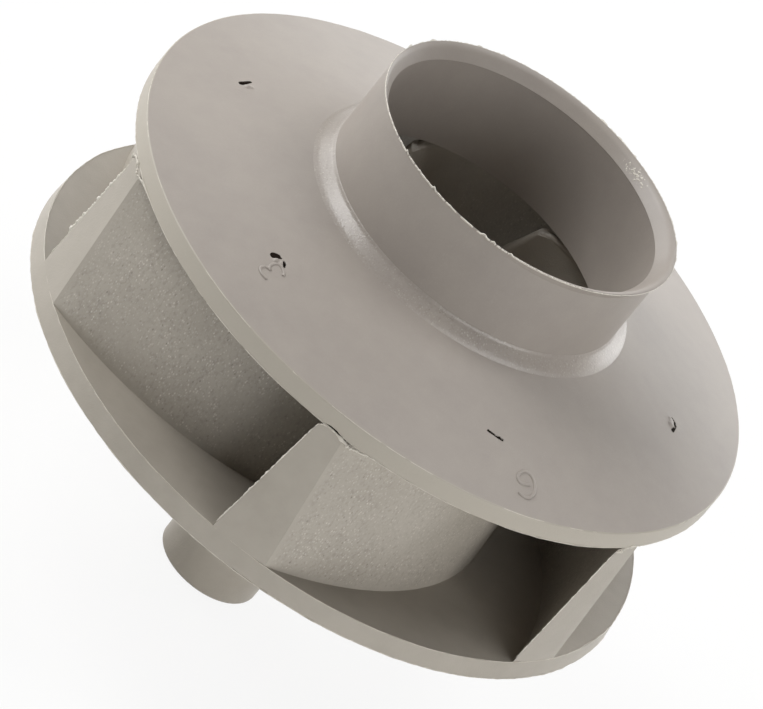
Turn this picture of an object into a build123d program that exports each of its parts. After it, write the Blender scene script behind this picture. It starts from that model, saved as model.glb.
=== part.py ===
"""Closed pump impeller: a moulded vane body, a moulded cover disc welded over it, a brass insert.

Millimetres. +Z is the shaft axis, from the hub's end to the suction eye. The origin is the centre
of the hub's flat end, which is the foot that the part stands on. The vane whose tip points at -Y
is the first one.
"""
from build123d import *
from math import cos, degrees, hypot, pi, radians, sin, tan
import os

os.makedirs("parts", exist_ok=True)

# Driving dimensions: the pump's own sizes.
hub_radius = 19.05 / 2          # 3/4 inch, carries the shaft seal
hub_length = 37.9               # hub's end to the underside of the back disc
hub_end_round = 0.8
hub_root_fillet = 2.5

back_thickness = 4.0
back_radius_top = 59.2
back_radius_bottom = 59.6       # the edge has draft
back_edge_round = 0.35

cover_radius = 59.2
cover_thickness = 3.5           # at the rim
cover_slope = 15.0              # both faces of the cover are shallow cones
cover_edge_round = 0.3

eye_radius = 28.6               # outside of the suction eye, runs in the wear ring
eye_length = 25.4               # rim's top edge to the eye's lip
lip_radius = 26.65              # inner edge of the bevelled lip
lip_drop = 2.45
throat_radius = 26.2
foot_height = 1.2               # bevelled foot between the eye and the cover's face
foot_width = 2.1
foot_blend = 1.6

vane_count = 6
vane_gap = 28.4                 # back disc to cover at the rim: the outlet's width
vane_root_thickness = 5.2
vane_tip_thickness = 2.3        # at the rim, under the cover
vane_top_round = 0.7            # the weld melts both edges of a vane's top
vane_angle_rim = 28.6           # vane to the rim's tangent
vane_angle_inlet = 22.4
vane_first_tip = -90.0          # where the first vane's tip points, degrees about +Z
inlet_radius_back = 21.2        # the vanes' leading edges slant from here ...
inlet_radius_cover = 26.8       # ... to here
inlet_corner_round = 3.2
inlet_relief = 0.9              # the vanes' tops leave the cover towards the inlet
inlet_relief_radius = 33.0

nose_radius = 16.5              # foot of the nose that turns the flow
nose_top_radius = 9.5
nose_height = 13.0
nose_round = 3.0

peg_radius = 1.15               # weld pegs on the vanes' tops
peg_hole_radius = 1.25
peg_circle_radius = 45.3
peg_below_face = 0.5

insert_radius = 7.0
insert_length = 30.0
insert_groove_depth = 0.6
insert_groove_width = 2.4
insert_grooves = [7.0, 15.0, 23.0]
thread_bore_radius = 4.96       # 7/16-20 UNF, tapping size
thread_mouth = 0.9
thread_relief = 2.0             # plain end of the blind hole

# Levels along the axis.
back_underside = hub_length
back_face = back_underside + back_thickness
cover_rim_underside = back_face + vane_gap
cover_rim_top = cover_rim_underside + cover_thickness
lip_top = cover_rim_top + eye_length
slope = tan(radians(cover_slope))


def cover_underside(radius):
    return cover_rim_underside + slope * (cover_radius - radius)


def cover_face(radius):
    return cover_rim_top + slope * (cover_radius - radius)


def turned(points):
    """A solid of revolution from a closed outline of (radius, height) points."""
    outline = make_face(Plane.XZ * Polyline(*points, close=True))
    return revolve(outline, Axis.Z)


def edges_at(solid, radius, height):
    """The solid's full circles of this radius at this height."""
    circles = solid.edges().filter_by(GeomType.CIRCLE)
    return circles.filter_by(lambda e: abs(e.radius - radius) < 0.01 and abs(e.center().Z - height) < 0.01)


# Vanes ---------------------------------------------------------------------------------------

vane_outer_radius = cover_radius + 3.0
vane_top = cover_underside(inlet_radius_cover) + 1.5
vane_steps = 10                 # points along each side of a section
vane_sections = 4               # sections from the back disc to the cover


def vane_angle(radius):
    share = (cover_radius - radius) / (cover_radius - inlet_radius_cover)
    return radians(vane_angle_rim + (vane_angle_inlet - vane_angle_rim) * share)


def vane_turn(radius):
    """Degrees from the vane's tip at the rim to its centreline at this radius."""
    pieces = 40
    width = (cover_radius - radius) / pieces
    total = 0.0
    for i in range(pieces):
        middle = cover_radius - (i + 0.5) * width
        total += width / (middle * tan(vane_angle(middle)))
    return degrees(total)


def vane_point(radius, side, ahead=0.0):
    """A point this far to the right of the first vane's centreline, and this far inwards along it."""
    turn = radians(vane_first_tip + vane_turn(radius))
    along = turn + pi / 2 + vane_angle(radius)
    x = radius * cos(turn) + side * sin(along) + ahead * cos(along)
    y = radius * sin(turn) - side * cos(along) + ahead * sin(along)
    return (x, y)


def vane_section(height):
    """The vane's outline at this height, with its rounded leading edge."""
    rise = (height - back_face) / (cover_underside(inlet_radius_cover) - back_face)
    inlet = inlet_radius_back + (inlet_radius_cover - inlet_radius_back) * rise
    taper = (vane_root_thickness - vane_tip_thickness) / vane_gap
    half = (vane_root_thickness - taper * (height - back_face)) / 2
    stretch = vane_outer_radius - inlet
    radii = [vane_outer_radius - stretch * i / vane_steps for i in range(vane_steps + 1)]
    right = Spline(*[vane_point(r, half) for r in radii])
    left = Spline(*[vane_point(r, -half) for r in reversed(radii)])
    nose = ThreePointArc(vane_point(inlet, half), vane_point(inlet, 0, half), vane_point(inlet, -half))
    tail = Line(vane_point(vane_outer_radius, -half), vane_point(vane_outer_radius, half))
    return Plane.XY.offset(height) * make_face([right, nose, left, tail])


def flow_space():
    """The ring between the back disc and the cover, which trims the vanes."""
    corner_radius = inlet_radius_cover - 1.0
    corner_height = cover_underside(corner_radius) - inlet_relief
    space = turned([
        (nose_radius, back_face),
        (cover_radius, back_face),
        (cover_radius, cover_rim_underside),
        (inlet_relief_radius, cover_underside(inlet_relief_radius)),
        (corner_radius, corner_height),
    ])
    return fillet(edges_at(space, corner_radius, corner_height), inlet_corner_round)


def under_cover(edge):
    """Whether a long edge of the vane lies against the cover."""
    middle = edge @ 0.5
    gap = cover_underside(hypot(middle.X, middle.Y)) - middle.Z
    return edge.length > vane_gap and abs(gap) < 0.05


def vane():
    step = (vane_top - back_face) / (vane_sections - 1)
    sections = [vane_section(back_face + step * i) for i in range(vane_sections)]
    blade = loft(sections) & flow_space()
    return fillet(blade.edges().filter_by(under_cover), vane_top_round)


def peg():
    turn = radians(vane_first_tip + vane_turn(peg_circle_radius))
    start = cover_underside(peg_circle_radius) - 2.0
    end = cover_face(peg_circle_radius) - peg_below_face
    place = Pos(peg_circle_radius * cos(turn), peg_circle_radius * sin(turn), start)
    return place * Cylinder(peg_radius, end - start, align=(Align.CENTER, Align.CENTER, Align.MIN))


def round_about(shape):
    return [Rot(0, 0, 360 / vane_count * i) * shape for i in range(vane_count)]


# Pieces --------------------------------------------------------------------------------------

def insert_outline():
    """The outside of the insert, with its retaining grooves."""
    points = [(0, 0), (insert_radius, 0)]
    for groove in insert_grooves:
        points.append((insert_radius, groove - insert_groove_width / 2))
        points.append((insert_radius - insert_groove_depth, groove - insert_groove_width / 2))
        points.append((insert_radius - insert_groove_depth, groove + insert_groove_width / 2))
        points.append((insert_radius, groove + insert_groove_width / 2))
    return points + [(insert_radius, insert_length), (0, insert_length)]


def threaded_insert():
    bore_length = insert_length - thread_relief
    bore = turned([
        (0, 0),
        (thread_bore_radius + thread_mouth, 0),
        (thread_bore_radius, thread_mouth),
        (thread_bore_radius, bore_length),
        (0, bore_length),
    ])
    return turned(insert_outline()) - bore


def hub_and_back():
    body = turned([
        (0, 0),
        (hub_radius, 0),
        (hub_radius, back_underside),
        (back_radius_bottom, back_underside),
        (back_radius_top, back_face),
        (nose_radius, back_face),
        (nose_top_radius, back_face + nose_height),
        (0, back_face + nose_height),
    ])
    body = fillet(edges_at(body, hub_radius, back_underside), hub_root_fillet)
    body = fillet(edges_at(body, hub_radius, 0), hub_end_round)
    body = fillet(edges_at(body, back_radius_bottom, back_underside), back_edge_round)
    body = fillet(edges_at(body, nose_radius, back_face), nose_round)
    return fillet(edges_at(body, nose_top_radius, back_face + nose_height), nose_round)


def vane_body():
    blades = round_about(vane())
    pegs = round_about(peg())
    return hub_and_back() + blades + pegs - turned(insert_outline())


def cover():
    crease = cover_face(eye_radius) + foot_height
    foot_radius = eye_radius + foot_width
    body = turned([
        (cover_radius, cover_rim_underside),
        (cover_radius, cover_rim_top),
        (foot_radius, cover_face(foot_radius)),
        (eye_radius, crease),
        (eye_radius, lip_top),
        (lip_radius, lip_top - lip_drop),
        (throat_radius, cover_underside(throat_radius)),
    ])
    body = fillet(edges_at(body, foot_radius, cover_face(foot_radius)), foot_blend)
    body = fillet(edges_at(body, cover_radius, cover_rim_top), cover_edge_round)
    hole_turn = vane_first_tip + vane_turn(peg_circle_radius)
    hole = Rot(0, 0, hole_turn) * Pos(peg_circle_radius, 0, cover_rim_top)
    holes = round_about(hole * Cylinder(peg_hole_radius, 4 * cover_thickness))
    return body - holes


pieces = {
    "vane_body": vane_body(),
    "cover_disc": cover(),
    "threaded_insert": threaded_insert(),
}

for name, piece in pieces.items():
    export_step(piece, f"parts/{name}.step")
    print(name, "volume", round(piece.volume), "valid", piece.is_valid)
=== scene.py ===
# %% [markdown]
# # A closed pump impeller
#
# The impeller is the wheel that throws the water outwards inside a small centrifugal pump. It is
# moulded in two pieces from a glass-filled engineering plastic: a back disc that carries the hub
# and six curved vanes, and a cover disc with the suction eye. The two are welded together, and a
# threaded brass insert in the hub takes the motor shaft.
#
# The exact solids come from the CAD model. This script adds what the moulding and welding leave
# behind, which a CAD model doesn't hold: thin flash, melted pegs, weld beads, and the surfaces.

# %% Load the frame
import bmesh
import bpy
from math import atan2, cos, hypot, pi, radians, sin, tan
from mathutils import Matrix, Vector, noise


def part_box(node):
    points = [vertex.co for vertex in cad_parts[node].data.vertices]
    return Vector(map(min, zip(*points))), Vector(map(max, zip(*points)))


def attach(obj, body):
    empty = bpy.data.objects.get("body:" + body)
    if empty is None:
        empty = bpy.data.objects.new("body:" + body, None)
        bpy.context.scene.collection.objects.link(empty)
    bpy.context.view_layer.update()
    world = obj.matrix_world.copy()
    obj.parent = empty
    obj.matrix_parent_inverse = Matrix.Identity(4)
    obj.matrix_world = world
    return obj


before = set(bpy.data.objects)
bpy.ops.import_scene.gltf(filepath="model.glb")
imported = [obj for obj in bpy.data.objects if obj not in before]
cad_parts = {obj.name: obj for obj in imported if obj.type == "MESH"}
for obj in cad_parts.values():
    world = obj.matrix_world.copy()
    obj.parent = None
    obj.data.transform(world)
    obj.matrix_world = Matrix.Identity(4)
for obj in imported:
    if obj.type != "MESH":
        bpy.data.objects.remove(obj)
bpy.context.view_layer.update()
print("CAD nodes:", ", ".join(sorted(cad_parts)))

# %% [markdown]
# ## The main sizes
#
# Every added piece sits on the CAD solids, so its size comes from them. The boxes of the nodes
# give the heights and the outer radius. The rest are the part's own dimensions, written in
# millimetres and turned to metres by mm(). The z axis is the shaft's axis, and the first vane's
# tip points along -y.

# %% Sizes and levels
def mm(value):
    return value / 1000


cover_low, cover_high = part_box("cover_disc")
insert_low, insert_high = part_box("threaded_insert")

COVER_RADIUS = cover_high.x
COVER_THICKNESS = mm(3.5)
COVER_SLOPE = tan(radians(15))
OUTLET_WIDTH = mm(28.4)
BACK_THICKNESS = mm(4.0)
RIM_UNDERSIDE = cover_low.z
RIM_TOP = RIM_UNDERSIDE + COVER_THICKNESS
BACK_FACE = RIM_UNDERSIDE - OUTLET_WIDTH
BACK_UNDERSIDE = BACK_FACE - BACK_THICKNESS

EYE_RADIUS = mm(28.6)
LIP_INNER_RADIUS = mm(26.65)
LIP_DROP = mm(2.45)
LIP_TOP = cover_high.z

VANE_COUNT = 6
VANE_ROOT_THICKNESS = mm(5.2)
VANE_TOP_THICKNESS = mm(2.3)
VANE_ANGLE_RIM = radians(28.6)
VANE_ANGLE_INLET = radians(22.4)
INLET_RADIUS = mm(26.8)
FIRST_TIP = radians(-90)


def cover_face(radius):
    """The height of the cover's conical top face at this radius."""
    return RIM_TOP + COVER_SLOPE * (COVER_RADIUS - radius)


print(f"rim from {RIM_UNDERSIDE * 1000:.1f} to {RIM_TOP * 1000:.1f} mm")
print(f"lip at {LIP_TOP * 1000:.1f} mm")

# %% [markdown]
# ## A helper for material nodes
#
# A Blender material is a small graph of nodes. One function adds any node: settings are the
# options on the node itself, and inputs are either numbers or another node's output, which is
# then linked. Colours are written as the sRGB hex values that a paint program shows, and one
# function turns them into the linear numbers that the renderer works in.

# %% Node and colour helpers
def linear(hex_colour):
    channels = []
    for i in (0, 2, 4):
        value = int(hex_colour[i + 1:i + 3], 16) / 255
        channels.append(value / 12.92 if value <= 0.04045 else ((value + 0.055) / 1.055) ** 2.4)
    return (*channels, 1.0)


def add_node(tree, kind, inputs=None, **settings):
    node = tree.nodes.new(kind)
    for name, value in settings.items():
        setattr(node, name, value)
    for name, value in (inputs or {}).items():
        if isinstance(value, bpy.types.NodeSocket):
            tree.links.new(value, node.inputs[name])
        else:
            node.inputs[name].default_value = value
    return node


def per_metre(size_mm):
    """The scale of a texture whose features are this many millimetres across."""
    return 1000 / size_mm


def new_material(name):
    material = bpy.data.materials.new(name)
    material.use_nodes = True
    material.node_tree.nodes.clear()
    return material


print("mid grey in linear light:", [round(v, 3) for v in linear("#808080")[:3]])

# %% [markdown]
# ## Moulded glass-filled plastic
#
# The two mouldings are a polyphenylene-type engineering plastic with about a fifth of short glass
# fibre. The injection mould's satin steel leaves an even, dull surface, and the warm grey pigment
# varies by a few percent where the melt flowed: broad flow marks of about 14 mm and a cloud of
# 3 mm. The vanes' sides dragged along the mould as the part came out, which left a dense sparkle
# of short pale fibres and dark pits in their skin, a little longer along the axis and stronger in
# patches of 7.5 mm. So the sparkle is masked by radius and height: it stays off the rims and off
# the channels' floor. Real grain is finer than 0.3 mm, and is drawn as coarse as it needs to be to
# show. The cover's rim is painted paler: a painted highlight for the light that falls on its side.

# %% The plastic's measures
PLASTIC_IOR = 1.5
FLOW_MM = 14
WEAR_MM = 7.5
SHADE_MM = 3
SPECKLE_MM = 0.5
GRAIN_MM = 0.35
FIBRE_MM = 0.36
PIT_MM = 0.62
FIBRE_STRETCH = 0.55
SPECKLE_COLOUR = "#6E675E"
FIBRE_COLOUR = "#E4DFD5"
PIT_COLOUR = "#4C463F"
# The paler colour of the painted highlight on the cover's rim.
RIM_HIGHLIGHT_COLOUR = "#AEA79B"


# %% Soft patches, and fibres or pits
def cloudy(tree, place, size_mm, detail, start=0.0, end=1.0, low=0.0, high=1.0):
    """Soft patches of this size, from low where the cloud is thin to high where it is thick."""
    cloud = add_node(tree, "ShaderNodeTexNoise", {
        "Vector": place, "Scale": per_metre(size_mm), "Detail": detail, "Roughness": 0.6})
    return add_node(tree, "ShaderNodeMapRange", {
        "Value": cloud.outputs["Fac"], "From Min": start, "From Max": end, "To Min": low,
        "To Max": high}).outputs["Result"]


def spots(tree, place, size_mm, radius, share, seed, amount):
    """Soft round spots: one in each chosen cell of a pattern with cells of this size.

    The radius is a share of a cell, and the share says how many of the cells have a spot.
    """
    moved = add_node(tree, "ShaderNodeVectorMath", {0: place, 1: (seed, seed, seed)},
                     operation="ADD")
    cells = add_node(tree, "ShaderNodeTexVoronoi", {
        "Vector": moved.outputs["Vector"], "Scale": per_metre(size_mm), "Randomness": 1.0})
    spot = add_node(tree, "ShaderNodeMapRange", {
        "Value": cells.outputs["Distance"], "From Min": radius * 0.4, "From Max": radius,
        "To Min": amount, "To Max": 0.0})
    look = add_node(tree, "ShaderNodeSeparateColor", {"Color": cells.outputs["Color"]})
    chosen = add_node(tree, "ShaderNodeMath", {0: look.outputs["Red"], 1: share},
                      operation="LESS_THAN")
    shown = add_node(tree, "ShaderNodeMath", {
        0: spot.outputs["Result"], 1: chosen.outputs["Value"]}, operation="MULTIPLY")
    return add_node(tree, "ShaderNodeMath", {
        0: shown.outputs["Value"], 1: look.outputs["Green"]},
        operation="MULTIPLY").outputs["Value"]


# %% Where the vanes' sides and the cover's rim are
def radius_at(tree, place):
    """How far the surface is from the axis."""
    flat = add_node(tree, "ShaderNodeVectorMath", {0: place, 1: (1.0, 1.0, 0.0)},
                    operation="MULTIPLY")
    return add_node(tree, "ShaderNodeVectorMath", {0: flat.outputs["Vector"]},
                    operation="LENGTH").outputs["Value"]


def painted_rim_highlight(tree, place):
    """1 on the cover's rim, where a highlight is painted, and 0 elsewhere."""
    return add_node(tree, "ShaderNodeMapRange", {
        "Value": radius_at(tree, place), "From Min": COVER_RADIUS - mm(0.30),
        "From Max": COVER_RADIUS - mm(0.08)}).outputs["Result"]


def dragged_skin(tree, place, amount):
    """This amount on the vanes' sides, and 0 on the rims and on the channels' floor."""
    radius = radius_at(tree, place)
    parts = add_node(tree, "ShaderNodeSeparateXYZ", {"Vector": place})
    inside_rim = add_node(tree, "ShaderNodeMapRange", {
        "Value": radius, "From Min": COVER_RADIUS - mm(0.6), "From Max": COVER_RADIUS - mm(0.15),
        "To Min": amount, "To Max": 0.0})
    outside_eye = add_node(tree, "ShaderNodeMapRange", {
        "Value": radius, "From Min": EYE_RADIUS, "From Max": EYE_RADIUS + mm(8),
        "To Max": inside_rim.outputs["Result"]})
    return add_node(tree, "ShaderNodeMapRange", {
        "Value": parts.outputs["Z"], "From Min": BACK_FACE + mm(0.3),
        "From Max": BACK_FACE + mm(1.5),
        "To Max": outside_eye.outputs["Result"]}).outputs["Result"]


# %% The plastic's material
def moulded_plastic(name, colour, dark, pale, roughness, sparkle, on_vanes, grain_depth_mm):
    material = new_material(name)
    tree = material.node_tree
    place = add_node(tree, "ShaderNodeTexCoord").outputs["Object"]
    drawn = add_node(tree, "ShaderNodeVectorMath", {
        0: place, 1: (1.0, 1.0, FIBRE_STRETCH)}, operation="MULTIPLY").outputs["Vector"]

    worn = cloudy(tree, place, WEAR_MM, 2.0, start=0.35, end=0.6, low=0.45 * sparkle, high=sparkle)
    if on_vanes:
        worn = dragged_skin(tree, place, worn)
    speckle = cloudy(tree, drawn, SPECKLE_MM, 3.0, start=0.5, end=0.68, high=worn)
    fibres = spots(tree, drawn, FIBRE_MM, radius=0.42, share=0.7, seed=0.0, amount=worn)
    pits = spots(tree, drawn, PIT_MM, radius=0.28, share=0.4, seed=0.37, amount=worn)

    # Each layer: where it shows, how strongly, and its colour.
    layers = [(cloudy(tree, place, FLOW_MM, 2.0, start=0.3, end=0.7), 1.0, dark),
              (cloudy(tree, place, SHADE_MM, 3.0, start=0.25, end=0.75), 0.3, pale)]
    # The cover's rim takes a painted highlight.
    if not on_vanes:
        layers.append((painted_rim_highlight(tree, place), 1.0, RIM_HIGHLIGHT_COLOUR))
    layers += [(speckle, 0.34, SPECKLE_COLOUR), (fibres, 0.55, FIBRE_COLOUR),
               (pits, 0.55, PIT_COLOUR)]
    tone = linear(colour)
    for where, strength, over in layers:
        factor = add_node(tree, "ShaderNodeMath", {0: where, 1: strength}, operation="MULTIPLY")
        tone = add_node(tree, "ShaderNodeMix", {
            "Factor": factor.outputs["Value"], "A": tone, "B": linear(over)},
            data_type="RGBA").outputs["Result"]

    relief = add_node(tree, "ShaderNodeMath", {
        0: fibres, 1: 0.6, 2: cloudy(tree, place, GRAIN_MM, 2.0)}, operation="MULTIPLY_ADD")
    bump = add_node(tree, "ShaderNodeBump", {
        "Strength": 1.0, "Distance": mm(grain_depth_mm), "Height": relief.outputs["Value"]})
    shader = add_node(tree, "ShaderNodeBsdfPrincipled", {
        "Base Color": tone, "Roughness": roughness, "IOR": PLASTIC_IOR,
        "Normal": bump.outputs["Normal"]})
    add_node(tree, "ShaderNodeOutputMaterial", {"Surface": shader.outputs["BSDF"]})
    return material


vane_plastic = moulded_plastic(
    "moulded_glass_filled_plastic_vanes", colour="#A9A297", dark="#A0998E", pale="#B5AEA4",
    roughness=0.44, sparkle=1.0, on_vanes=True, grain_depth_mm=0.03)
cover_plastic = moulded_plastic(
    "moulded_glass_filled_plastic_cover", colour="#9F978F", dark="#99918A", pale="#A8A098",
    roughness=0.44, sparkle=0.07, on_vanes=False, grain_depth_mm=0.012)
# A little paler than the cover, with many pale flecks: a painted glint on the foot's smoother band.
burnished_glint_plastic = moulded_plastic(
    "glass_filled_plastic_burnished_painted_glint", colour="#A29A92", dark="#9B938C", pale="#ABA39B",
    roughness=0.30, sparkle=0.6, on_vanes=False, grain_depth_mm=0.05)
print("plastics:", ", ".join(m.name for m in (vane_plastic, cover_plastic, burnished_glint_plastic)))

# %% [markdown]
# ## Brass and the weld's melt
#
# The insert is turned from free-machining brass, which keeps fine tool lines around its axis.
# A wave pattern in rings along the axis, 0.25 mm apart, gives those lines. The melt that the weld
# squeezed out set against air and not against steel, so it is smoother, shinier and a little paler
# than the moulded skin. Thin flash is whiter still where it was bent. The slits beside the pegs
# and the gaps under the weld beads take a matt near-black, painted shade for their dark, which
# reflects next to nothing, so its IOR is low.

# %% Brass, melt and near-black painted shade
TOOL_LINE_MM = 0.25
STAIN_MM = 3
MELT_CLOUD_MM = 1.2
# The near-black of the painted shade reflects next to nothing.
SHADE_BLACK_IOR = 1.15


def turned_brass():
    material = new_material("turned_brass")
    tree = material.node_tree
    place = add_node(tree, "ShaderNodeTexCoord").outputs["Object"]
    lines = add_node(tree, "ShaderNodeTexWave", {
        "Vector": place, "Scale": per_metre(TOOL_LINE_MM) / 20, "Distortion": 0.4},
        bands_direction="Z")
    stain = add_node(tree, "ShaderNodeTexNoise", {
        "Vector": place, "Scale": per_metre(STAIN_MM), "Detail": 3.0})
    tone = add_node(tree, "ShaderNodeMix", {
        "Factor": stain.outputs["Fac"], "A": linear("#C9A65C"), "B": linear("#9C7A3C")},
        data_type="RGBA")
    bump = add_node(tree, "ShaderNodeBump", {
        "Strength": 0.4, "Distance": mm(0.01), "Height": lines.outputs["Fac"]})
    shader = add_node(tree, "ShaderNodeBsdfPrincipled", {
        "Base Color": tone.outputs["Result"], "Metallic": 1.0, "Roughness": 0.32,
        "Normal": bump.outputs["Normal"]})
    add_node(tree, "ShaderNodeOutputMaterial", {"Surface": shader.outputs["BSDF"]})
    return material


def set_melt(name, colour, pale, roughness, ior=PLASTIC_IOR):
    material = new_material(name)
    tree = material.node_tree
    place = add_node(tree, "ShaderNodeTexCoord").outputs["Object"]
    cloud = cloudy(tree, place, MELT_CLOUD_MM, 3.0)
    tone = add_node(tree, "ShaderNodeMix", {
        "Factor": cloud, "A": linear(colour), "B": linear(pale)}, data_type="RGBA")
    bump = add_node(tree, "ShaderNodeBump", {
        "Strength": 1.0, "Distance": mm(0.03), "Height": cloud})
    shader = add_node(tree, "ShaderNodeBsdfPrincipled", {
        "Base Color": tone.outputs["Result"], "Roughness": roughness, "IOR": ior,
        "Normal": bump.outputs["Normal"]})
    add_node(tree, "ShaderNodeOutputMaterial", {"Surface": shader.outputs["BSDF"]})
    return material


brass = turned_brass()
fresh_melt = set_melt("set_melt", colour="#B9B2A6", pale="#D9D4C9", roughness=0.36)
white_flash = set_melt("stress_whitened_flash", colour="#C9C3B7", pale="#E6E2D8", roughness=0.45)
# Near-black painted shade for the slits beside the pegs and the gaps under the weld beads.
near_black_shade = set_melt("near_black_painted_shade", colour="#15100C", pale="#241C16", roughness=0.9, ior=SHADE_BLACK_IOR)
for node, material in (("vane_body", vane_plastic), ("cover_disc", cover_plastic),
                       ("threaded_insert", brass)):
    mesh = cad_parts[node].data
    mesh.materials.clear()
    mesh.materials.append(material)
print("materials:", ", ".join(m.name for m in bpy.data.materials))

# %% [markdown]
# ## Turning a mesh into a piece
#
# Every added piece ends the same way: its bmesh becomes an object at the origin, takes a material,
# and rides on the part's one body.

# %% Finish a piece
def finish_piece(name, shape, material, smooth=True):
    bmesh.ops.remove_doubles(shape, verts=shape.verts, dist=mm(0.001))
    bmesh.ops.recalc_face_normals(shape, faces=shape.faces)
    mesh = bpy.data.meshes.new(name)
    shape.to_mesh(mesh)
    shape.free()
    mesh.materials.append(material)
    mesh.polygons.foreach_set("use_smooth", [smooth] * len(mesh.polygons))
    piece = bpy.data.objects.new(name, mesh)
    bpy.context.scene.collection.objects.link(piece)
    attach(piece, "root")
    print(f"{name}: {len(mesh.polygons)} faces")
    return piece


# %% [markdown]
# ## The shaft thread
#
# The insert's bore carries a 7/16-20 thread: twenty turns to the inch, so 1.27 mm from crest to
# crest. The CAD bore is plain. A thread can be drawn as a bump, but it catches the light better as
# real geometry, and it is one operator: a small triangle is spun round the axis, and each step
# also moves it along. The triangle is the ridge, its base just inside the bore's wall.

# %% Spin the thread
THREAD_PITCH = mm(25.4 / 20)
THREAD_BORE = mm(4.96)
THREAD_DEPTH = mm(0.42)
THREAD_BASE = THREAD_BORE + mm(0.03)
THREAD_CREST = THREAD_BORE - THREAD_DEPTH
THREAD_LEAD_IN = mm(1.2)
THREAD_RUN_OUT = mm(2.4)
THREAD_STEPS = 40


def shaft_thread():
    start = insert_low.z + THREAD_LEAD_IN
    turns = int((insert_high.z - THREAD_RUN_OUT - start) / THREAD_PITCH)
    shape = bmesh.new()
    half = THREAD_PITCH * 0.46
    corners = [(THREAD_BASE, -half), (THREAD_CREST, -half * 0.12), (THREAD_CREST, half * 0.12),
               (THREAD_BASE, half)]
    ring = [shape.verts.new((radius, 0, start + height)) for radius, height in corners]
    ridge = shape.faces.new(ring)
    spun = bmesh.ops.spin(
        shape, geom=[ridge, *ridge.edges, *ring], cent=(0, 0, 0), axis=(0, 0, 1),
        dvec=(0, 0, THREAD_PITCH / THREAD_STEPS), angle=turns * 2 * pi,
        steps=turns * THREAD_STEPS, use_merge=False)
    print("thread turns:", turns, "last ring:", len(spun["geom_last"]))
    return finish_piece("shaft_thread", shape, brass, smooth=False)


shaft_thread()

# %% [markdown]
# ## The suction eye's lip
#
# The lip is bevelled on the inside, and on one side, where the mould had worn, its edge leans out
# over the neck. The two halves of the mould met at that edge, and melt crept into the gap and set
# as a thin ragged fin. Its height changes all the time, with a few lumps where it folded over.
# The bevel and the fin are rings, spun from small outlines. Then each vertex is moved: by a formula
# for the lean, and by smooth noise for the fin, because a fin has no shape that a formula gives.

# %% Rings and ragged noise
def ragged(angle, seed, size):
    """Smooth noise round a circle: size is the length of a lump in radians."""
    return noise.noise(Vector((cos(angle) / size, sin(angle) / size, seed)))


def ring_from(outline, steps):
    """Spin a closed outline of (radius, height) points once round the axis."""
    shape = bmesh.new()
    verts = [shape.verts.new((radius, 0, height)) for radius, height in outline]
    edges = [shape.edges.new((verts[i - 1], verts[i])) for i in range(len(verts))]
    bmesh.ops.spin(shape, geom=verts + edges, cent=(0, 0, 0), axis=(0, 0, 1),
                   dvec=(0, 0, 0), angle=2 * pi, steps=steps, use_merge=True)
    return shape


def move_out(vert, distance):
    """Move a vertex away from the axis."""
    radius = hypot(vert.co.x, vert.co.y)
    vert.co.x *= (radius + distance) / radius
    vert.co.y *= (radius + distance) / radius


# %% How far the lip leans out
LEAN = mm(0.92)
LEAN_SIDE = radians(-12)
LEAN_DEPTH = mm(1.4)
LEAN_RISE = 0.12
# Lumps of folded flash: direction in degrees, height in mm, half width in degrees.
FLASH_LUMPS = [(271, 0.50, 1.5), (274.5, 0.30, 1.0), (281.5, 0.34, 0.9), (248, 0.42, 0.8),
               (240, 0.22, 0.8), (231.5, 0.55, 0.7), (222, 0.2, 0.8), (329, 0.3, 1.4),
               (318, 0.16, 1.0), (152, 0.2, 1.6), (166, 0.22, 1.5), (130, 0.14, 1.2),
               (120, 0.1, 0.9), (78, 0.16, 1.8), (70, 0.12, 1.2), (62, 0.1, 1.0),
               (20, 0.08, 1.5), (4, 0.08, 1.2)]
RAGGED_SIDE = radians(262)


def turn_between(a, b):
    """The smaller angle between two directions."""
    return abs((a - b + pi) % (2 * pi) - pi)


def lean_out(vert):
    """Lean a vertex of the lip out and a little up: fully at the edge, and less below it."""
    side = turn_between(atan2(vert.co.y, vert.co.x), LEAN_SIDE)
    share = min(1.0, max(0.0, 1 - (LIP_TOP - vert.co.z) / LEAN_DEPTH)) ** 1.5
    lean = LEAN * max(0.0, cos(side)) ** 3 * share
    move_out(vert, lean)
    vert.co.z += LEAN_RISE * lean


def lump_height(angle):
    """How far the lumps of flash rise in this direction."""
    total = 0.0
    for place, height, half_width in FLASH_LUMPS:
        away = turn_between(angle, radians(place)) / radians(half_width)
        total += height * max(0.0, 1 - away ** 2)
    return mm(total)


# %% The bevel and its flash
LIP_STEPS = 1200


def lip_bevel():
    """The bevel, a hair above the solid's, which leans out over the neck on one side."""
    inner_low = LIP_TOP - LIP_DROP
    shape = ring_from([
        (LIP_INNER_RADIUS + mm(0.30), inner_low - mm(0.9)),
        (LIP_INNER_RADIUS - mm(0.06), inner_low - mm(0.06)),
        (LIP_INNER_RADIUS - mm(0.06), inner_low + mm(0.01)),
        (LIP_INNER_RADIUS - mm(0.02), inner_low + mm(0.07)),
        (EYE_RADIUS - mm(0.80), LIP_TOP - mm(0.92)),
        (EYE_RADIUS - mm(0.07), LIP_TOP + mm(0.03)),
        (EYE_RADIUS - mm(0.04), LIP_TOP + mm(0.03)),
        (EYE_RADIUS - mm(0.01), LIP_TOP),
        (EYE_RADIUS, LIP_TOP - mm(0.10)),
        (EYE_RADIUS - mm(0.06), LIP_TOP - LEAN_DEPTH)], LIP_STEPS)
    for vert in shape.verts:
        if hypot(vert.co.x, vert.co.y) > EYE_RADIUS - mm(0.055):
            lean_out(vert)
    return finish_piece("eye_lip_edge", shape, cover_plastic)


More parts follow.
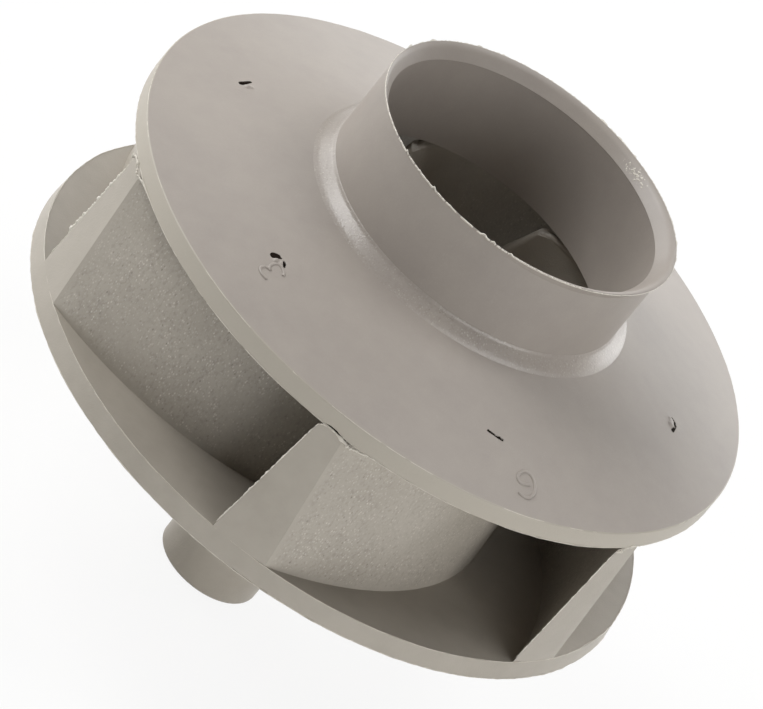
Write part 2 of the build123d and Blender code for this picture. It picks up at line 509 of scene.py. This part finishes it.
def lip_flash():
    """The ragged fin on the lip's outer edge."""
    shape = ring_from([
        (EYE_RADIUS - mm(0.20), LIP_TOP - mm(0.30)),
        (EYE_RADIUS - mm(0.02), LIP_TOP - mm(0.32)),
        (EYE_RADIUS + mm(0.05), LIP_TOP - mm(0.20)),
        (EYE_RADIUS + mm(0.09), LIP_TOP - mm(0.05)),
        (EYE_RADIUS + mm(0.03), LIP_TOP + mm(0.07)),
        (EYE_RADIUS - mm(0.11), LIP_TOP - mm(0.16))], LIP_STEPS)
    for vert in shape.verts:
        angle = atan2(vert.co.y, vert.co.x)
        free = 1.0 if hypot(vert.co.x, vert.co.y) > EYE_RADIUS - mm(0.10) else 0.35
        worn = 0.35 + 0.65 * max(0.0, cos(turn_between(angle, RAGGED_SIDE) * 0.9))
        coarse = worn * ragged(angle, 3.0, 0.07)
        fine = worn * ragged(angle, 9.0, 0.018)
        lump = lump_height(angle)
        lean_out(vert)
        vert.co.z += free * (mm(0.18) * coarse + mm(0.26) * fine + 1.1 * lump)
        move_out(vert, free * (mm(0.14) * coarse + mm(0.22) * fine + 0.8 * lump))
    return finish_piece("eye_lip_flash", shape, white_flash)


lip_bevel()
lip_flash()

# %% [markdown]
# ## The rounded foot of the eye
#
# Where the eye meets the cover, the mould has a rounded band. It is the brightest line on the
# cover, because it turns through every angle between the two and was rubbed smooth. Its plastic is
# a little paler and carries many flecks, the pale ones a painted glint on top of that light. The
# CAD has it as a flat bevel, so a ring with a rounded outline is spun over that.

# %% The foot's ring
# In mm, outwards and upwards from where the cover's face would meet the eye's wall.
FOOT_OUTLINE = [(-0.25, 2.1), (0.05, 1.80), (0.12, 1.55), (0.24, 1.32), (0.48, 1.04), (0.80, 0.75),
                (1.15, 0.42), (1.50, 0.08), (1.85, -0.22), (2.20, -0.47), (2.60, -0.68),
                (3.10, -0.90), (3.00, -1.6), (-0.25, -1.2)]
FOOT_STEPS = 360


def eye_foot():
    level = cover_face(EYE_RADIUS)
    outline = [(EYE_RADIUS + mm(out), level + mm(up)) for out, up in reversed(FOOT_OUTLINE)]
    # The foot's plastic carries a painted glint.
    return finish_piece("eye_foot_blend", ring_from(outline, FOOT_STEPS), burnished_glint_plastic)


eye_foot()

# %% [markdown]
# ## A rough patch on the bevel
#
# On one side the bevel was torn a little as the part left the mould, and glitters. It is a strip
# across the bevel, spun over twenty degrees in many small steps, and lifted by noise. Its edges
# stay under the skin, so it has no outline of its own. Its paler melt colour is a painted glint on
# top of the light that its rough surface catches.

# %% The torn patch and its painted glint
PATCH_START = radians(46)
PATCH_END = radians(66)
PATCH_ROWS = 26
PATCH_STEPS = 130
PATCH_LIFT = mm(0.16)


def torn_glint_patch():
    shape = bmesh.new()
    verts = []
    for row in range(PATCH_ROWS + 1):
        share = row / PATCH_ROWS
        radius = LIP_INNER_RADIUS + (EYE_RADIUS - LIP_INNER_RADIUS) * share
        height = LIP_TOP - LIP_DROP * (1 - share)
        place = (radius * cos(PATCH_START), radius * sin(PATCH_START), height)
        verts.append(shape.verts.new(place))
    edges = [shape.edges.new(pair) for pair in zip(verts, verts[1:])]
    bmesh.ops.spin(shape, geom=verts + edges, cent=(0, 0, 0), axis=(0, 0, 1), dvec=(0, 0, 0),
                   angle=PATCH_END - PATCH_START, steps=PATCH_STEPS, use_merge=False)
    for vert in shape.verts:
        angle = atan2(vert.co.y, vert.co.x)
        radius = hypot(vert.co.x, vert.co.y)
        across = (radius - LIP_INNER_RADIUS) / (EYE_RADIUS - LIP_INNER_RADIUS)
        along = (angle - PATCH_START) / (PATCH_END - PATCH_START)
        inner = max(0.0, 4 * across * (1 - across)) * max(0.0, 4 * along * (1 - along))
        spot = vert.co * 1000
        grit = noise.noise(spot * 2.2) + 0.8 * noise.noise(spot * 5.5)
        lift = PATCH_LIFT * (grit * inner ** 0.5 - 0.42 + 0.72 * inner)
        vert.co.z += lift * 0.62
        move_out(vert, -lift * 0.78)
    # The paler melt colour paints the patch's glint.
    return finish_piece("eye_lip_torn_patch", shape, fresh_melt)


torn_glint_patch()

# %% [markdown]
# ## Thin seams on the rims
#
# The two discs' sharp edges carry a hair of flash too, which catches the light as a broken pale
# line. It is the same ring, with a diamond for an outline, that rises out of the edge only where
# the noise lifts it. Elsewhere it stays under the skin.

# %% Seam rings
SEAM_STEPS = 900
# Name, finish, radius and height of the edge, and the seam's size.
SEAMS = [
    ("cover_rim_top_seam", "cover_disc", COVER_RADIUS - mm(0.10), RIM_TOP - mm(0.06), mm(0.07)),
    ("cover_rim_lower_seam", "cover_disc", COVER_RADIUS - mm(0.02), RIM_UNDERSIDE + mm(0.03),
     mm(0.10)),
    ("back_rim_top_seam", "vane_body", COVER_RADIUS - mm(0.02), BACK_FACE - mm(0.03), mm(0.10)),
    ("back_rim_lower_seam", "vane_body", COVER_RADIUS + mm(0.28), BACK_UNDERSIDE + mm(0.12),
     mm(0.13))]


def seam_ring(name, slot, radius, height, size, seed):
    shape = ring_from([(radius - size, height), (radius, height - size), (radius + size, height),
                       (radius, height + size)], SEAM_STEPS)
    for vert in shape.verts:
        angle = atan2(vert.co.y, vert.co.x)
        lift = ragged(angle, seed, 0.16) + 0.6 * ragged(angle, seed + 5, 0.03)
        move_out(vert, size * min(0.9, max(-1.4, 1.7 * lift - 0.45)))
    return finish_piece(name, shape, fresh_melt)


for seed, seam in enumerate(SEAMS, start=1):
    seam_ring(*seam, seed)

# %% [markdown]
# ## Beads of melt
#
# Hot-plate welding squeezes melt out of the joint between each vane's top and the cover. It sets
# as a pale, lumpy bead that curls along the cover's lower edge and thins out. A bead is a small
# ring of vertices that is extruded from station to station along its path, with its own radius at
# each. The vanes' burrs, their rounded tops and the digits further down are made in the same way.

# %% Sweep a bead
def sweep(stations, sides=10):
    """A closed tube through (centre, radius) stations."""
    shape = bmesh.new()
    made = bmesh.ops.create_circle(shape, cap_ends=True, segments=sides, radius=1.0)
    ring = made["verts"]
    face = ring[0].link_faces[0]
    for i, (centre, radius) in enumerate(stations):
        before = stations[max(i - 1, 0)][0]
        after = stations[min(i + 1, len(stations) - 1)][0]
        along = (after - before).normalized()
        across = along.cross(Vector((centre.x, centre.y, 0)).normalized()).normalized()
        outward = across.cross(along)
        if i:
            grown = bmesh.ops.extrude_discrete_faces(shape, faces=[face])
            face = grown["faces"][0]
            ring = list(face.verts)
        for j, vert in enumerate(ring):
            turn = 2 * pi * j / sides
            vert.co = centre + radius * (across * cos(turn) + outward * sin(turn))
    bmesh.ops.holes_fill(shape, edges=[edge for edge in shape.edges if edge.is_boundary])
    return shape


def on_rim(angle, height, out=0.0):
    """A point on the rim, or this far outside it."""
    radius = COVER_RADIUS + out
    return Vector((radius * cos(angle), radius * sin(angle), height))


def along_path(points, pieces):
    """Points between the given ones, each eased from one to the next."""
    for first, second in zip(points, points[1:]):
        for step in range(pieces):
            ease = (1 - cos(pi * step / pieces)) / 2
            even = step / pieces
            yield (first[0] + (second[0] - first[0]) * even,
                   *(a + (b - a) * ease for a, b in zip(first[1:], second[1:])))
    yield points[-1]


# %% The weld beads
# Each bead's path: degrees past the vane's tip, mm above the cover's lower edge, radius in mm.
CURLED_BEAD = [(-2.5, -1.5, 0.03), (-2.2, -0.7, 0.08), (-1.5, -0.15, 0.10), (-0.5, 0.08, 0.12),
               (1.0, -0.12, 0.18), (2.5, -0.42, 0.28), (3.8, -0.76, 0.28), (5.5, -0.42, 0.20),
               (7.4, 0.04, 0.12), (10.5, 0.02, 0.07), (16.0, 0.02, 0.03)]
LUMPY_BEAD = [(-3.3, -1.6, 0.04), (-3.2, -0.9, 0.26), (-2.3, -0.4, 0.16), (-0.6, -0.3, 0.18),
              (0.0, -0.3, 0.32), (0.7, -0.7, 0.20), (1.3, -1.2, 0.28), (2.4, -0.7, 0.16),
              (4.7, -0.2, 0.12), (8.0, 0.02, 0.08), (15.0, 0.02, 0.03)]
SMALL_BEAD = [(-2.6, -1.2, 0.03), (-1.4, -1.0, 0.22), (-0.3, -0.1, 0.22), (0.9, 0.15, 0.18),
              (2.4, 0.0, 0.10), (6.0, 0.02, 0.07), (12.0, 0.02, 0.03)]
BEADS = [CURLED_BEAD, SMALL_BEAD, LUMPY_BEAD, CURLED_BEAD, SMALL_BEAD, LUMPY_BEAD]
GAP_PATH = [(-1.4, 0.22, 0.03), (-0.5, 0.34, 0.12), (0.5, 0.28, 0.15), (1.6, 0.02, 0.14),
            (2.8, -0.16, 0.06)]


def vane_tip(index):
    return FIRST_TIP + 2 * pi * index / VANE_COUNT


def weld_bead(index, path):
    stations = []
    for past, above, radius in along_path(path, 12):
        angle = vane_tip(index) + radians(past)
        wave = ragged(angle, 20.0 + index, 0.012)
        centre = on_rim(angle, RIM_UNDERSIDE + mm(above) + mm(0.05) * wave,
                        mm(0.04) * wave - mm(0.03))
        fine = ragged(angle, 50.0 + index, 0.0035)
        stations.append((centre, mm(radius) * (1 + 0.55 * wave + 1.0 * fine)))
    return finish_piece(f"weld_bead_{index + 1}", sweep(stations), fresh_melt)


def weld_gap_shade(index):
    """Black painted shade in the gap left open between a curled bead and the cover's edge."""
    stations = []
    for past, above, radius in along_path(GAP_PATH, 8):
        angle = vane_tip(index) + radians(past)
        stations.append((on_rim(angle, RIM_UNDERSIDE + mm(above), -mm(0.04)), mm(radius)))
    return finish_piece(f"weld_gap_shade_{index + 1}", sweep(stations, 8), near_black_shade)


for vane, bead_path in enumerate(BEADS):
    weld_bead(vane, bead_path)
# Each curled bead's gap gets its tube of painted shade.
for vane, bead_path in enumerate(BEADS):
    if bead_path is CURLED_BEAD:
        weld_gap_shade(vane)

# %% [markdown]
# ## The vanes' tops at the inlet
#
# Towards the eye each vane's top leaves the cover, and the hot plate rounded it there and left it
# a little thick. So a bead as wide as the vane follows its curve. The curve is worked out as the
# CAD does it: the vane makes a known angle with the circle at every radius, and small steps
# inwards add up the turn.

# %% A vane's curve
CURVE_STEPS = 200


def vane_direction(index, radius):
    """Where this vane's middle line stands at this radius."""
    turn = 0.0
    width = (COVER_RADIUS - radius) / CURVE_STEPS
    for step in range(CURVE_STEPS):
        middle = COVER_RADIUS - (step + 0.5) * width
        share = (COVER_RADIUS - middle) / (COVER_RADIUS - INLET_RADIUS)
        angle = VANE_ANGLE_RIM + (VANE_ANGLE_INLET - VANE_ANGLE_RIM) * share
        turn += width / (middle * tan(angle))
    return vane_tip(index) + turn


# %% The rounded tops
# In mm: how far from the axis, how far below the cover's underside, and the bead's own radius.
INLET_PATH = [(26.35, 5.0, 0.50), (26.40, 3.4, 0.62), (26.65, 2.2, 0.74), (27.3, 1.35, 0.80),
              (28.4, 0.95, 0.80), (30.0, 0.62, 0.74), (32.0, 0.32, 0.60), (34.5, 0.10, 0.35)]


def inlet_bead(index):
    stations = []
    for radius, below, size in along_path(INLET_PATH, 6):
        angle = vane_direction(index, mm(radius))
        centre = Vector((mm(radius) * cos(angle), mm(radius) * sin(angle),
                         cover_face(mm(radius)) - COVER_THICKNESS - mm(below)))
        lump = 1 + 0.22 * noise.noise(Vector((radius * 0.9, below * 0.7, index)))
        stations.append((centre, mm(size) * lump))
    return finish_piece(f"inlet_bead_{index + 1}", sweep(stations, 16), vane_plastic)


for vane in range(VANE_COUNT):
    inlet_bead(vane)

# %% [markdown]
# ## Burrs on the vanes' ends
#
# The corner of each vane's end that faces the channel behind it carries a thin white burr. On one
# vane it grew into a broad ragged flash, whitened where it was bent.

# %% The burrs
BURR_STEPS = 90
JOG_SHARE = 0.30


def vane_burr(name, index, low, high, size, jog):
    """A burr from low to high above the back disc. Its lowest stretch stands out by the jog."""
    stations = []
    for step in range(BURR_STEPS + 1):
        share = step / BURR_STEPS
        height = BACK_FACE + low + share * (high - low)
        rise = (height - BACK_FACE) / (RIM_UNDERSIDE - BACK_FACE)
        width = VANE_ROOT_THICKNESS + (VANE_TOP_THICKNESS - VANE_ROOT_THICKNESS) * rise
        half_turn = width / sin(VANE_ANGLE_RIM) / 2 / COVER_RADIUS
        rough = ragged(share * 2, 60.0 + index, 0.06) + 0.5 * ragged(share * 2, 70.0, 0.02)
        step_out = jog if share < JOG_SHARE else 0.0
        angle = vane_tip(index) - half_turn - (step_out + size * 0.8 * rough) / COVER_RADIUS
        ends = min(1.0, share / 0.06, (1 - share) / 0.06) ** 0.5
        radius = size * (0.75 + 0.7 * rough) * ends
        stations.append((on_rim(angle, height, -size * 0.45), max(radius, mm(0.004))))
    return finish_piece(name, sweep(stations, 8), white_flash)


for vane in range(VANE_COUNT):
    vane_burr(f"vane_burr_{vane + 1}", vane, low=mm(1.0), high=mm(27.0), size=mm(0.13), jog=0.0)
vane_burr("vane_flash_6", 5, low=mm(7.0), high=mm(25.5), size=mm(0.36), jog=mm(0.45))

# %% [markdown]
# ## Melted weld pegs
#
# A peg on each vane goes through a hole in the cover, and its head was melted to fill the hole.
# It never quite does: each one leaves a small dark slit beside a raised lump. A disc of melt is
# spun from a line of points and laid on the cone. Its vertices rise at the lumps and drop along
# the slits, and the faces in a slit take a near-black, painted shade for the slit's dark. Over the
# peg's hole the slit is a real recess; beside it the slit is nearly flush, and its dark is painted.

# %% The slits and lumps
PEG_CIRCLE = mm(45.3)
CAP_RADIUS = 3.3
CAP_RINGS = 46
CAP_SPOKES = 128
# Levels in mm against the cover's face: deep over the peg's hole, and just clear of the face
# beside it.
PEG_RADIUS = 1.1
SLIT_BOTTOM = -0.42
SLIT_FLOOR = 0.006
# In mm from the peg's centre, outwards and sideways. A slit's points also have half a width, and
# a lump has a radius and a height.
PEG_MARKS = [
    ([[(-0.44, 0.87, 0.08), (0.29, 0.75, 0.12), (0.82, 0.10, 0.24), (0.96, -0.80, 0.26),
       (0.92, -1.76, 0.32)]], [(0.2, -0.9, 0.8, 0.26), (-0.5, 0.1, 0.6, 0.10)]),
    ([[(-0.6, 0.5, 0.12), (0.1, 0.9, 0.2), (0.7, 0.6, 0.12)]], [(0.1, 0.2, 0.6, 0.08)]),
    ([[(0.3, -0.9, 0.16), (0.6, 0.1, 0.26)]], [(-0.1, -0.3, 0.6, 0.09)]),
    ([[(0.88, -0.66, 0.44), (0.49, -1.17, 0.46), (0.12, -1.9, 0.34), (-0.24, -2.58, 0.22)]],
     [(-0.30, -0.50, 0.7, 0.34), (-0.9, -0.9, 0.6, 0.16)]),
    ([[(0.30, -2.22, 0.62), (-0.1, -1.85, 0.58), (-0.5, -1.3, 0.20)],
      [(-0.59, -0.44, 0.18), (-0.33, 0.02, 0.28), (-0.02, 0.50, 0.18)]],
     [(0.55, -1.15, 0.6, 0.32), (0.1, -0.3, 0.5, 0.18)]),
    ([[(0.01, -2.41, 0.20), (0.40, -1.24, 0.20), (0.76, 0.24, 0.30), (0.70, 0.56, 0.14)]],
     [(1.0, -0.8, 0.5, 0.04)])]


def slit_depth(x, y, slit):
    """1 inside the slit and 0 outside, with a soft edge 0.1 mm wide."""
    deepest = 0.0
    for (x1, y1, w1), (x2, y2, w2) in zip(slit, slit[1:]):
        length = hypot(x2 - x1, y2 - y1)
        share = ((x - x1) * (x2 - x1) + (y - y1) * (y2 - y1)) / length ** 2
        share = max(0.0, min(1.0, share))
        away = hypot(x - x1 - share * (x2 - x1), y - y1 - share * (y2 - y1))
        deepest = max(deepest, 0.5 + (w1 + (w2 - w1) * share - away) / 0.1)
    return min(1.0, deepest)


# %% The caps
def peg_cap(index, slits, lumps):
    turn = 2 * pi * index / VANE_COUNT
    shape = bmesh.new()
    verts = [shape.verts.new((CAP_RADIUS * i / CAP_RINGS, 0, 0)) for i in range(CAP_RINGS + 1)]
    edges = [shape.edges.new(pair) for pair in zip(verts, verts[1:])]
    bmesh.ops.spin(shape, geom=verts + edges, cent=(0, 0, 0), axis=(0, 0, 1),
                   dvec=(0, 0, 0), angle=2 * pi, steps=CAP_SPOKES, use_merge=True)
    bmesh.ops.remove_doubles(shape, verts=shape.verts, dist=0.001)
    bmesh.ops.recalc_face_normals(shape, faces=shape.faces)
    for vert in shape.verts:
        x = vert.co.x
        y = vert.co.y
        from_middle = hypot(x, y)
        swell = 0.05 * (1 - (from_middle / CAP_RADIUS) ** 2) ** 2 - 0.004
        swell += 0.02 * noise.noise(Vector((x * 1.6, y * 1.6, index))) * (swell > 0.01)
        for out, side, size, height in lumps:
            swell += height * max(0.0, 1 - ((x - out) ** 2 + (y - side) ** 2) / size ** 2) ** 1.5
        depth = max(slit_depth(x, y, slit) for slit in slits)
        bottom = SLIT_BOTTOM if from_middle < PEG_RADIUS else SLIT_FLOOR
        level = swell + (bottom - swell) * depth
        outwards = PEG_CIRCLE + mm(x)
        sideways = mm(y)
        vert.co = Vector((outwards * cos(turn) - sideways * sin(turn),
                          outwards * sin(turn) + sideways * cos(turn),
                          cover_face(hypot(outwards, sideways)) + mm(level)))
        vert.tag = depth > 0.4
    # Faces in a slit take the second material, the near-black of painted shade.
    for face in shape.faces:
        in_slit = sum(vert.tag for vert in face.verts)
        face.material_index = 1 if in_slit >= 2 else 0
    cap = finish_piece(f"peg_cap_{index + 1}", shape, cover_plastic)
    cap.data.materials.append(near_black_shade)
    return cap


for number, (slits, lumps) in enumerate(PEG_MARKS):
    peg_cap(number, slits, lumps)

# %% [markdown]
# ## Plain mould numbers
#
# The mould numbers its cavity and one vane with plain raised digits. Each digit is a thin bead,
# half sunk in the cover's face, that follows a few points eased into a smooth stroke.

# %% The digits
DIGIT_STROKE = mm(0.30)
DIGIT_SINK = mm(0.04)
# Points of each stroke: mm outwards and sideways from a spot on the cover.
DIGIT_3 = [(4.53, 1.79), (4.75, 0.7), (4.46, -0.35), (3.98, -0.69), (3.30, -0.62), (2.90, -0.15),
           (2.80, 0.50), (2.65, -0.2), (2.08, -0.55), (1.29, -0.60), (0.70, -0.35),
           (0.49, 0.30), (0.62, 1.20), (0.9, 1.85), (1.32, 2.10)]
DIGIT_6 = [(5.01, -1.26), (5.62, -0.4), (5.65, 0.84), (4.44, 2.03), (2.89, 2.43), (1.3, 2.05),
           (0.49, 1.04), (0.89, -0.25), (2.04, -1.27), (3.08, -0.93), (3.17, 0.14),
           (2.98, 1.25)]


def smooth_line(points, rounds=3):
    """Cut the corners of a line of points a few times."""
    for _ in range(rounds):
        cut = [points[0]]
        for (x1, y1), (x2, y2) in zip(points, points[1:]):
            cut.append((x1 * 0.75 + x2 * 0.25, y1 * 0.75 + y2 * 0.25))
            cut.append((x1 * 0.25 + x2 * 0.75, y1 * 0.25 + y2 * 0.75))
        points = cut + [points[-1]]
    return points


def raised_digit(name, points, radius, azimuth):
    turn = radians(azimuth)
    stations = []
    for out, side in smooth_line(points):
        x = radius + mm(out)
        y = mm(side)
        centre = Vector((x * cos(turn) - y * sin(turn), x * sin(turn) + y * cos(turn),
                         cover_face(hypot(x, y)) - DIGIT_SINK))
        stations.append((centre, DIGIT_STROKE))
    return finish_piece(name, sweep(stations, 8), cover_plastic)


raised_digit("digit_three", DIGIT_3, radius=PEG_CIRCLE, azimuth=-120)
raised_digit("digit_six", DIGIT_6, radius=mm(50), azimuth=-55)

# %% [markdown]
# ## Camera
#
# The camera stands far off with a long lens, as for a catalogue picture, so the discs stay nearly
# parallel in perspective. Its place is given by an azimuth and an elevation round the part and a
# distance, and it is rolled, which makes the wheel lean.

# %% Camera
CAMERA_AZIMUTH = radians(-91.913)
CAMERA_ELEVATION = radians(29.706)
CAMERA_ROLL = radians(39.011)
CAMERA_DISTANCE = mm(1883.1)
CAMERA_AIM = Vector((mm(0.51), 0, mm(53.31)))
CAMERA_LENS_MM = 529.12
CAMERA_SENSOR_MM = 36


def towards(azimuth, elevation):
    """The direction at this azimuth round the part and this elevation."""
    level = cos(elevation)
    return Vector((level * cos(azimuth), level * sin(azimuth), sin(elevation)))


def place_camera():
    back = towards(CAMERA_AZIMUTH, CAMERA_ELEVATION)
    level_right = (-back).cross(Vector((0, 0, 1))).normalized()
    level_up = level_right.cross(-back)
    right = level_right * cos(CAMERA_ROLL) + level_up * sin(CAMERA_ROLL)
    up = level_up * cos(CAMERA_ROLL) - level_right * sin(CAMERA_ROLL)
    camera = bpy.data.objects.new("camera", bpy.data.cameras.new("camera"))
    camera.matrix_world = Matrix.Translation(CAMERA_AIM + back * CAMERA_DISTANCE) @ Matrix((
        (right.x, up.x, back.x, 0), (right.y, up.y, back.y, 0), (right.z, up.z, back.z, 0),
        (0, 0, 0, 1)))
    camera.data.sensor_width = CAMERA_SENSOR_MM
    camera.data.lens = CAMERA_LENS_MM
    camera.data.clip_start = 0.1
    camera.data.clip_end = 10
    bpy.context.scene.collection.objects.link(camera)
    bpy.context.scene.camera = camera
    return camera


camera = place_camera()
print("camera at", [round(v, 3) for v in camera.location])

# %% [markdown]
# ## Floor, backdrop and light
#
# The part stands on its hub's end on a plain pale floor, in front of a white backdrop. What the
# camera and shiny surfaces see of the floor is mostly a white glow, with a share of the real,
# lit floor in it, so the part's soft shadow stays. To all other light it is a white table, which
# bounces soft light up under the discs.

# %% Floor and world
GLOW_SHARE = 0.88
FLOOR_RADIUS = 1.6
FLOOR_DROP = mm(0.05)
WORLD_LEVEL = 0.01


def white_floor():
    material = new_material("white_board")
    tree = material.node_tree
    path = add_node(tree, "ShaderNodeLightPath")
    seen = add_node(tree, "ShaderNodeMath", {
        0: path.outputs["Is Camera Ray"], 1: path.outputs["Is Glossy Ray"]}, operation="MAXIMUM")
    share = add_node(tree, "ShaderNodeMath", {
        0: seen.outputs["Value"], 1: GLOW_SHARE}, operation="MULTIPLY")
    matte = add_node(tree, "ShaderNodeBsdfDiffuse", {"Color": linear("#F0F0EE")})
    white = add_node(tree, "ShaderNodeEmission", {"Color": (1, 1, 1, 1), "Strength": 1.0})
    mixed = add_node(tree, "ShaderNodeMixShader", {
        0: share.outputs["Value"], 1: matte.outputs["BSDF"], 2: white.outputs["Emission"]})
    add_node(tree, "ShaderNodeOutputMaterial", {"Surface": mixed.outputs["Shader"]})
    shape = bmesh.new()
    bmesh.ops.create_circle(shape, cap_ends=True, segments=96, radius=FLOOR_RADIUS)
    bmesh.ops.translate(shape, verts=shape.verts, vec=(0, 0, -FLOOR_DROP))
    mesh = bpy.data.meshes.new("floor")
    shape.to_mesh(mesh)
    shape.free()
    mesh.materials.append(material)
    floor = bpy.data.objects.new("floor", mesh)
    bpy.context.scene.collection.objects.link(floor)


def white_world(strength):
    """A tent that lights the part with this strength, and that the camera sees as pure white."""
    world = bpy.data.worlds.new("white_tent")
    world.use_nodes = True
    tree = world.node_tree
    tree.nodes.clear()
    path = add_node(tree, "ShaderNodeLightPath")
    seen = add_node(tree, "ShaderNodeMath", {
        0: path.outputs["Is Camera Ray"], 1: path.outputs["Is Transmission Ray"]},
        operation="MAXIMUM")
    level = add_node(tree, "ShaderNodeMapRange", {
        "Value": seen.outputs["Value"], "To Min": strength, "To Max": 1.0})
    tent = add_node(tree, "ShaderNodeBackground", {
        "Color": (1, 1, 1, 1), "Strength": level.outputs["Result"]})
    add_node(tree, "ShaderNodeOutputWorld", {"Surface": tent.outputs["Background"]})
    bpy.context.scene.world = world


white_floor()
white_world(WORLD_LEVEL)

# %% [markdown]
# ## Soft boxes
#
# The light comes from round soft boxes, 0.7 m across and 1.2 m from the part: low ones that rake
# over the discs from the sides and from behind, and a few high ones. Each line gives a direction,
# as degrees round from the camera and degrees up, and the lamp's power in watts.

# %% Lamps
LAMP_DISTANCE = 1.2
LAMP_SIZE = 0.7
LAMPS = [
    ("left_low", -120, 12, 5.2), ("left_middle", -90, 40, 11.0), ("left_back", -150, 40, 1.7),
    ("behind_low", 180, 12, 2.5), ("right_back", 150, 12, 4.7), ("right_high", 120, 68, 5.4),
    ("right_low", 60, 12, 4.7), ("front_low", 30, 12, 3.2)]


def soft_box(name, turn, elevation, watts):
    """A round area lamp that faces the part."""
    direction = towards(CAMERA_AZIMUTH + radians(turn), radians(elevation))
    lamp = bpy.data.lights.new(name, "AREA")
    lamp.shape = "DISK"
    lamp.size = LAMP_SIZE
    lamp.energy = watts
    body = bpy.data.objects.new(name, lamp)
    body.location = CAMERA_AIM + direction * LAMP_DISTANCE
    body.rotation_euler = direction.to_track_quat("Z", "Y").to_euler()
    bpy.context.scene.collection.objects.link(body)


for lamp in LAMPS:
    soft_box(*lamp)
bpy.context.scene.view_settings.view_transform = "Standard"
print("lamps:", len(bpy.data.lights))
